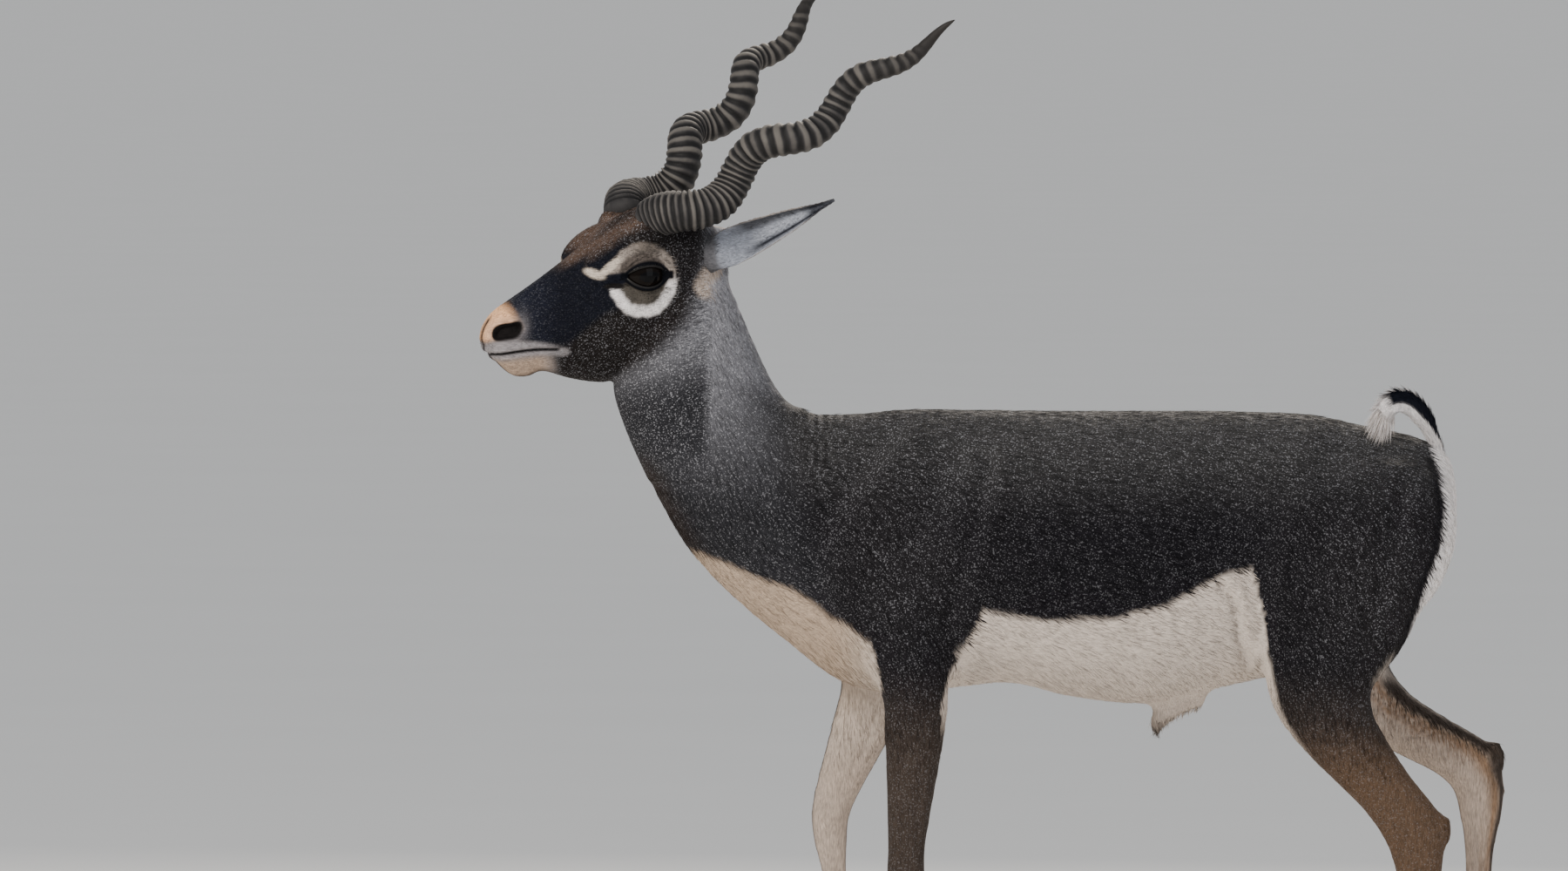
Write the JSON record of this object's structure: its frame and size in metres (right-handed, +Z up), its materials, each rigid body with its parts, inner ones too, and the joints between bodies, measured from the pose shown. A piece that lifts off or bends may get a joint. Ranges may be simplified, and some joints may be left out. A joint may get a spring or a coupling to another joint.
{
  "type": "blackbuck",
  "caption": "Life-size still model of a male blackbuck antelope walking, with ringed spiral horns and a turned head.",
  "frame": {"origin": "middle of the bounding box at the level of the soles", "axes": "+Z up; the animal faces -X, and its left side, the near one in the picture, is -Y"},
  "size_m": [1.0716, 0.3171, 1.2169],
  "materials": {
    "dark_coat": "short flat fur, black-brown grizzled with grey above, white below",
    "white_hair": "longer soft white hair with a naked dark under side",
    "ear_coat": "very short pale fur with a dark margin",
    "horn": "dark grey-brown ringed horn, dry satin",
    "hoof": "black horn, satin",
    "eye": "wet, very dark brown"
  },
  "bodies": {
    "root": {"torso": "dark_coat", "neck": "dark_coat", "head": "dark_coat", "tail": "white_hair", "ear_left": "ear_coat", "ear_right": "ear_coat", "eye_left": "eye", "eye_right": "eye", "horn_left": "horn", "horn_right": "horn", "leg_fore_left_upper": "dark_coat", "leg_fore_left_lower": "dark_coat", "hoof_fore_left_left": "hoof", "hoof_fore_left_right": "hoof", "leg_fore_right_upper": "dark_coat", "leg_fore_right_lower": "dark_coat", "hoof_fore_right_left": "hoof", "hoof_fore_right_right": "hoof", "leg_hind_left_upper": "dark_coat", "leg_hind_left_lower": "dark_coat", "hoof_hind_left_left": "hoof", "hoof_hind_left_right": "hoof", "leg_hind_right_upper": "dark_coat", "leg_hind_right_lower": "dark_coat", "hoof_hind_right_left": "hoof", "hoof_hind_right_right": "hoof"}
  },
  "joints": []
}
